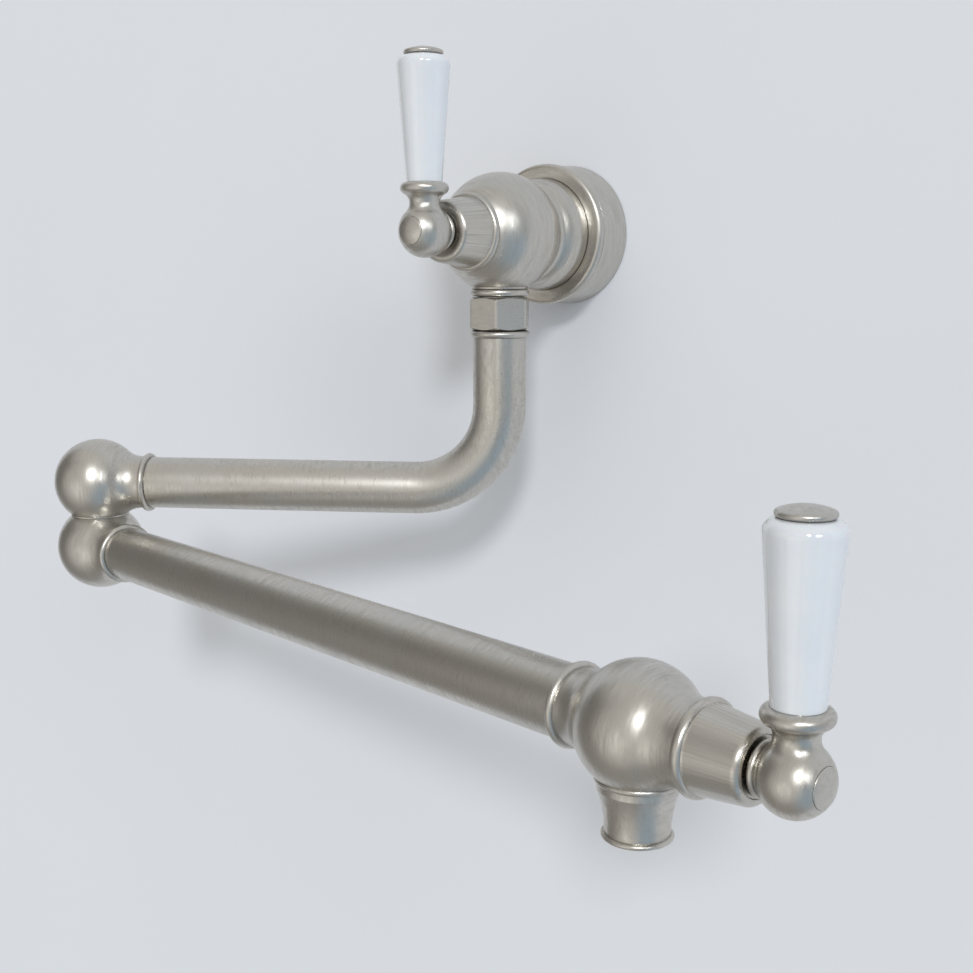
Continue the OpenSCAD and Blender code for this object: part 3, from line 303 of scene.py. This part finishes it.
def porcelain(name):
    """White glaze over clay: a glossy coat with very slow waves, and a faint cool mottling."""
    t = new_material(name)
    place = t.object_place()
    mottle = t.noise(place, *GLAZE_MOTTLE)
    speck = t.noise(place, *GLAZE_SPECKS)
    colour = t.mix(t.span(mottle, *MIDDLE), GLAZE, GLAZE_PALE)
    colour = t.mix(t.span(speck, *SPECK_RANGE, 0.0, SPECK_SHARE), colour, GLAZE_SPECK)
    rough = t.span(mottle, *MOST, *GLAZE_ROUGHNESS)
    normal = t.bump(t.noise(place, *GLAZE_WAVES), WAVE_HEIGHT, WAVE_STRENGTH)
    return t.finish(Base_Color=colour, Roughness=rough, Normal=normal, Coat_Weight=1.0,
                    Coat_Roughness=0.04, Subsurface_Weight=0.08, Subsurface_Scale=0.002,
                    Specular_IOR_Level=0.8)


# Bare turned metal: the colour of each metal and that of its marks and stains

BRASS = ((0.60, 0.42, 0.18, 1.0), (0.38, 0.26, 0.11, 1.0))
STEEL = ((0.48, 0.48, 0.49, 1.0), (0.30, 0.30, 0.31, 1.0))

# Tool marks: noise waves per metre, the noise's detail and roughness, the marks' share of the colour,
# their depth in metres, and what they change of the metal's roughness
TOOL_MARKS = 4200.0
TOOL_MARK_NOISE = (2.0, 0.5)
TOOL_MARK_SHARE = 0.30
TOOL_MARK_DEPTH = 0.00002
TOOL_MARK_ROUGHNESS = (-0.05, 0.10)

# Stains: their noise's waves per metre, detail and roughness, the range in which they come in, and
# their share of the colour
STAINS = (120.0, 4.0, 0.6)
STAIN_RANGE = (0.45, 0.70)
STAIN_SHARE = 0.35


def lathe_metal(name, origin, axis, base, dark, roughness):
    """Bare turned metal with the tool's fine rings round the axis."""
    t = new_material(name)
    turned = turned_coordinates(t, origin, axis)
    place = t.join(t.times(turned.along, TOOL_MARKS), turned.cosine, turned.sine)
    ring = t.noise(place, 1.0, *TOOL_MARK_NOISE, t.times(turned.radius, TOOL_MARKS))
    stain = t.span(t.noise(turned.place, *STAINS), *STAIN_RANGE, 0.0, STAIN_SHARE)
    colour = t.mix(t.span(ring, *MOST, TOOL_MARK_SHARE, 0.0), base, dark)
    colour = t.mix(stain, colour, dark)
    rough = t.span(ring, *MOST, *(roughness + change for change in TOOL_MARK_ROUGHNESS))
    normal = t.bump(ring, TOOL_MARK_DEPTH, BUMP_STRENGTH)
    return t.finish(Base_Color=colour, Metallic=1.0, Roughness=rough, Normal=normal)


# Seals, discs and moulded pieces: the detail and roughness of the noises for their clouds and grain,
# the clouds' waves per wave of the grain, and what the grain changes of the roughness

CLOUD = (4.0, 0.55)
GRAIN = (3.0, 0.6)
CLOUD_TO_GRAIN = 0.08
GRAIN_ROUGHNESS = (-0.05, 0.08)


def plain_finish(name, base, other, roughness, grain, depth, specular=0.5):
    """A grained matt or polished non-metal. grain is in noise waves per metre, depth in metres."""
    t = new_material(name)
    place = t.object_place()
    cloud = t.noise(place, grain * CLOUD_TO_GRAIN, *CLOUD)
    fine = t.noise(place, grain, *GRAIN)
    colour = t.mix(t.span(cloud, *MIDDLE), base, other)
    rough = t.span(fine, *MOST, *(roughness + change for change in GRAIN_ROUGHNESS))
    return t.finish(Base_Color=colour, Roughness=rough, Normal=t.bump(fine, depth, BUMP_STRENGTH),
                    Specular_IOR_Level=specular)


# The nodes' materials

finish_of = {}


def paint(material, *names):
    """Notes the material of each of these nodes."""
    for name in names:
        finish_of[name] = material


paint(nickel("flange_nickel", WALL_BALL, WALL_AXIS), "wall_flange")
paint(nickel("swivel_nickel", WALL_BALL, UP), "swivel_nut", "arm_spigot")
paint(nickel("upper_tube_nickel", UPPER_BALL, UPPER_ARM), "upper_tube")
paint(nickel("upper_elbow_nickel", UPPER_BALL, UPPER_ARM), "upper_elbow")
paint(nickel("lower_elbow_nickel", LOWER_BALL, LOWER_ARM), "lower_elbow")
paint(nickel("washer_nickel", UPPER_BALL, UP), "elbow_washer")
paint(nickel("lower_tube_nickel", LOWER_BALL, LOWER_ARM), "lower_tube")

valves = (("wall", WALL_BALL, WALL_AXIS, WALL_HUB), ("end", END_BALL, LOWER_ARM, END_HUB))
for side, ball, axis, hub in valves:
    paint(nickel(side + "_body_nickel", ball, axis), side + "_body")
    paint(nickel(side + "_bonnet_nickel", ball, axis, rings=False), side + "_bonnet")
    paint(nickel(side + "_hub_nickel", hub, axis), side + "_hub", side + "_screw_cover")
    paint(nickel(side + "_cap_nickel", hub, UP), side + "_cap")
    paint(porcelain(side + "_porcelain"), side + "_handle")
    brass = lathe_metal(side + "_brass", ball, axis, *BRASS, roughness=0.28)
    paint(brass, side + "_cartridge", side + "_spindle")
    steel = lathe_metal(side + "_steel", ball, axis, *STEEL, roughness=0.30)
    paint(steel, side + "_spindle_clip", side + "_lever_screw")
    paint(lathe_metal(side + "_rod_steel", hub, UP, *STEEL, roughness=0.32), side + "_tie_rod")

paint(lathe_metal("elbow_brass", UPPER_BALL, UP, *BRASS, roughness=0.28), "elbow_spindle")
paint(lathe_metal("elbow_steel", UPPER_BALL, UP, *STEEL, roughness=0.30), "elbow_clip")
swivel_steel = lathe_metal("swivel_steel", WALL_BALL, UP, *STEEL, roughness=0.30)
paint(swivel_steel, "snap_ring", "flange_grub_screw")

seal = plain_finish("seal_rubber", base=(0.020, 0.020, 0.021, 1.0), other=(0.032, 0.031, 0.030, 1.0),
                    roughness=0.58, grain=2400.0, depth=0.00003, specular=0.35)
disc = plain_finish("disc_ceramic", base=(0.80, 0.80, 0.78, 1.0), other=(0.74, 0.74, 0.71, 1.0),
                    roughness=0.16, grain=3000.0, depth=0.000004)
mould = plain_finish("straightener_plastic", base=(0.62, 0.64, 0.63, 1.0), other=(0.55, 0.57, 0.56, 1.0),
                     roughness=0.42, grain=2200.0, depth=0.00001)
for side in ("wall", "end"):
    paint(seal, side + "_seat_seal", side + "_cartridge_ring", side + "_spindle_ring")
    paint(disc, side + "_fixed_disc", side + "_moving_disc")
paint(seal, "spigot_rings", "elbow_rings")
paint(mould, "stream_straightener")

for name, piece in nodes.items():
    piece.data.materials.clear()
    piece.data.materials.append(finish_of[name])
    piece.data.shade_smooth()

# New objects


def to_scene(name, data):
    """A new object in the scene, with that mesh, lamp or camera."""
    item = bpy.data.objects.new(name, data)
    bpy.context.scene.collection.objects.link(item)
    return item


def mesh_object(name, bm, material):
    """A new object in the scene from bm, which is freed."""
    mesh = bpy.data.meshes.new(name)
    bm.to_mesh(mesh)
    bm.free()
    mesh.materials.append(material)
    return to_scene(name, mesh)


# Bonnet beads, in metres: how far a ring stands out of its solid and ahead of the solid's bead,
# and half the height and width of its elliptic section

BEAD_PROUD = 0.00006
BEAD_FORWARD = 0.00015
BEAD_HEIGHT = 0.0015
BEAD_HALF_WIDTH = 0.00165
BEAD_TURNS = 160
BEAD_POINTS = 32


def widest_circle(piece, origin, axis):
    """The radius of a turned piece's widest circle, and its place along the axis."""
    widest, middle = 0.0, 0.0
    for vertex in piece.data.vertices:
        place = piece.matrix_world @ vertex.co - origin
        along = place.dot(axis)
        radius = (place - axis * along).length
        if radius > widest:
            widest, middle = radius, along
    return widest, middle


def bead_ring(name, bonnet, origin, axis, body, material):
    """The crisp bead round a bonnet's foot: an elliptic ring over the widest circle of its solid."""
    first, second = sideways(axis)
    widest, middle = widest_circle(bonnet, origin, axis)
    centre = widest + BEAD_PROUD - BEAD_HEIGHT
    bm = bmesh.new()
    loops = []
    for i in range(BEAD_TURNS):
        turn = 2 * math.pi * i / BEAD_TURNS
        out = first * math.cos(turn) + second * math.sin(turn)
        loop = []
        for k in range(BEAD_POINTS):
            angle = 2 * math.pi * k / BEAD_POINTS
            radius = centre + BEAD_HEIGHT * math.cos(angle)
            along = middle + BEAD_FORWARD + BEAD_HALF_WIDTH * math.sin(angle)
            loop.append(bm.verts.new(origin + axis * along + out * radius))
        loops.append(loop)
    for i, here in enumerate(loops):
        there = loops[(i + 1) % BEAD_TURNS]
        for k in range(BEAD_POINTS):
            m = (k + 1) % BEAD_POINTS
            bm.faces.new((here[k], there[k], there[m], here[m]))
    bmesh.ops.recalc_face_normals(bm, faces=bm.faces)
    ring = mesh_object(name, bm, material)
    ring.data.shade_smooth()
    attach(ring, body)


for side, ball, axis, _ in valves:
    body = "wall_valve" if side == "wall" else "lower_arm"
    bonnet = nodes[side + "_bonnet"]
    bead_ring(side + "_bonnet_bead", bonnet, ball, axis, body, finish_of[side + "_body"])

# Wall: its colours, its noises as waves per metre, detail and roughness, and its sizes in metres

WALL_COLOUR = (0.830, 0.852, 0.898, 1.0)
MOTTLE_SHADE = 0.985
WALL_SHADED = tuple(part * MOTTLE_SHADE for part in WALL_COLOUR[:3]) + (1.0,)
WALL_MOTTLE = (3.0, 4.0, 0.5)
ROLLER_GRAIN = (900.0, 3.0, 0.6)
WALL_GRAIN_DEPTH = 0.00004
WALL_GRAIN_STRENGTH = 0.25
WALL_Y = 0.0004
WALL_HALF = 2.4
HOLE_RADIUS = 0.024
HOLE_SIDES = 64


def wall_material():
    """Painted plaster. It is see-through from its back, so that the part can be looked at from behind."""
    t = new_material("wall_paint")
    place = t.object_place()
    mottle = t.noise(place, *WALL_MOTTLE)
    colour = t.mix(t.span(mottle, *MIDDLE), WALL_COLOUR, WALL_SHADED)
    normal = t.bump(t.noise(place, *ROLLER_GRAIN), WALL_GRAIN_DEPTH, WALL_GRAIN_STRENGTH)
    paint_shader = t.add("ShaderNodeBsdfDiffuse", {"Color": colour, "Normal": normal})
    clear = t.add("ShaderNodeBsdfTransparent")
    behind = t.add("ShaderNodeNewGeometry", out="Backfacing")
    surface = t.add("ShaderNodeMixShader", {0: behind, 1: paint_shader, 2: clear})
    t.add("ShaderNodeOutputMaterial", {"Surface": surface})
    return t.owner


def make_wall():
    """A square wall with the pipe's hole behind the flange. Its faces look into the room."""
    bm = bmesh.new()
    inner, outer = [], []
    for i in range(HOLE_SIDES):
        angle = 2 * math.pi * i / HOLE_SIDES
        across, up = math.cos(angle), math.sin(angle)
        reach = WALL_HALF / max(abs(across), abs(up))
        inner.append(bm.verts.new((HOLE_RADIUS * across, WALL_Y, HOLE_RADIUS * up)))
        outer.append(bm.verts.new((reach * across, WALL_Y, reach * up)))
    for i in range(HOLE_SIDES):
        j = (i + 1) % HOLE_SIDES
        bm.faces.new((outer[i], outer[j], inner[j], inner[i]))
    wall = mesh_object("wall", bm, wall_material())


make_wall()

# Light. All angles are in degrees. A sun lamp lights the same from any distance

LAMP_DISTANCE = 2.0


def toward(azimuth, elevation):
    """The unit vector to an azimuth, 0 in front of the wall and 90 to its right, and an elevation."""
    a, e = math.radians(azimuth), math.radians(elevation)
    return Vector((math.sin(a) * math.cos(e), -math.cos(a) * math.cos(e), math.sin(e)))


def sun(name, azimuth, elevation, strength, spread, colour):
    """A sun lamp that shines on the part from that direction. spread is the sun's width in the sky."""
    light = bpy.data.lights.new(name, "SUN")
    light.energy = strength
    light.angle = math.radians(spread)
    light.color = colour
    item = to_scene(name, light)
    item.location = toward(azimuth, elevation) * LAMP_DISTANCE
    item.rotation_euler = toward(azimuth, elevation).to_track_quat("Z", "Y").to_euler()


sun("key", azimuth=33, elevation=27, strength=1.04, spread=9, colour=(0.955, 0.98, 1.0))
sun("side", azimuth=60, elevation=22, strength=0.34, spread=20, colour=(0.93, 0.97, 1.0))

# What a view from behind the wall, or past its edge, sees beyond the part. The metal reflects the
# room's light instead
BEHIND_WALL = (0.62, 0.65, 0.68, 1.0)
# The room's even light, and soft patches over it: azimuth, elevation, full inside, gone outside, colour
ROOM_BASE = (0.285, 0.277, 0.265)
ROOM = (
    (0, 90, 20, 66, (0.38, 0.38, 0.37)),
    (-6, -5, 32, 56, (0.34, 0.332, 0.316)),
    (-6, -14, 15, 22, (0.36, 0.362, 0.36)),
    (66, -32, 8, 44, (0.08, 0.19, 0.30)),
    (95, 5, 10, 50, (0.08, 0.10, 0.12)),
    (-74, 14, 10, 36, (-0.07, -0.068, -0.064)),
    (0, -90, 10, 60, (0.06, 0.06, 0.06)),
)


def room():
    """The studio's light from all round, as soft patches over an even base."""
    world = bpy.data.worlds.new("studio")
    bpy.context.scene.world = world
    t = Tree(world)
    direction = t.add("ShaderNodeTexCoord", out="Generated")
    total = t.join(*ROOM_BASE)
    for azimuth, elevation, inside, outside, colour in ROOM:
        near = t.dot(direction, toward(azimuth, elevation))
        low, high = math.cos(math.radians(outside)), math.cos(math.radians(inside))
        inputs = {"Value": near, "From Min": low, "From Max": high}
        amount = t.add("ShaderNodeMapRange", inputs, interpolation_type="SMOOTHSTEP")
        total = t.vector("ADD", total, t.scale(colour, amount))
    seen = t.add("ShaderNodeLightPath", out="Is Camera Ray")
    shown = t.mix(seen, total, BEHIND_WALL)
    background = t.add("ShaderNodeBackground", {"Color": shown, "Strength": 1.0})
    t.add("ShaderNodeOutputWorld", {"Surface": background})


room()

# Camera, fitted to the photograph: place in metres, angles in degrees, lens and sensor in millimetres

CAMERA_PLACE = (0.32458, -0.49207, -0.01207)
CAMERA_YAW = 36.9
CAMERA_DIP = 9.63
CAMERA_LENS = 48.70
CAMERA_SENSOR = 36.0
CAMERA_CLIP_START = 0.01

camera_data = bpy.data.cameras.new("camera")
camera_data.sensor_width = CAMERA_SENSOR
camera_data.lens = CAMERA_LENS
camera_data.clip_start = CAMERA_CLIP_START
camera = to_scene("camera", camera_data)
camera.location = CAMERA_PLACE
camera.rotation_euler = (math.radians(90 - CAMERA_DIP), 0.0, math.radians(CAMERA_YAW))
bpy.context.scene.camera = camera
bpy.context.scene.view_settings.view_transform = "Standard"
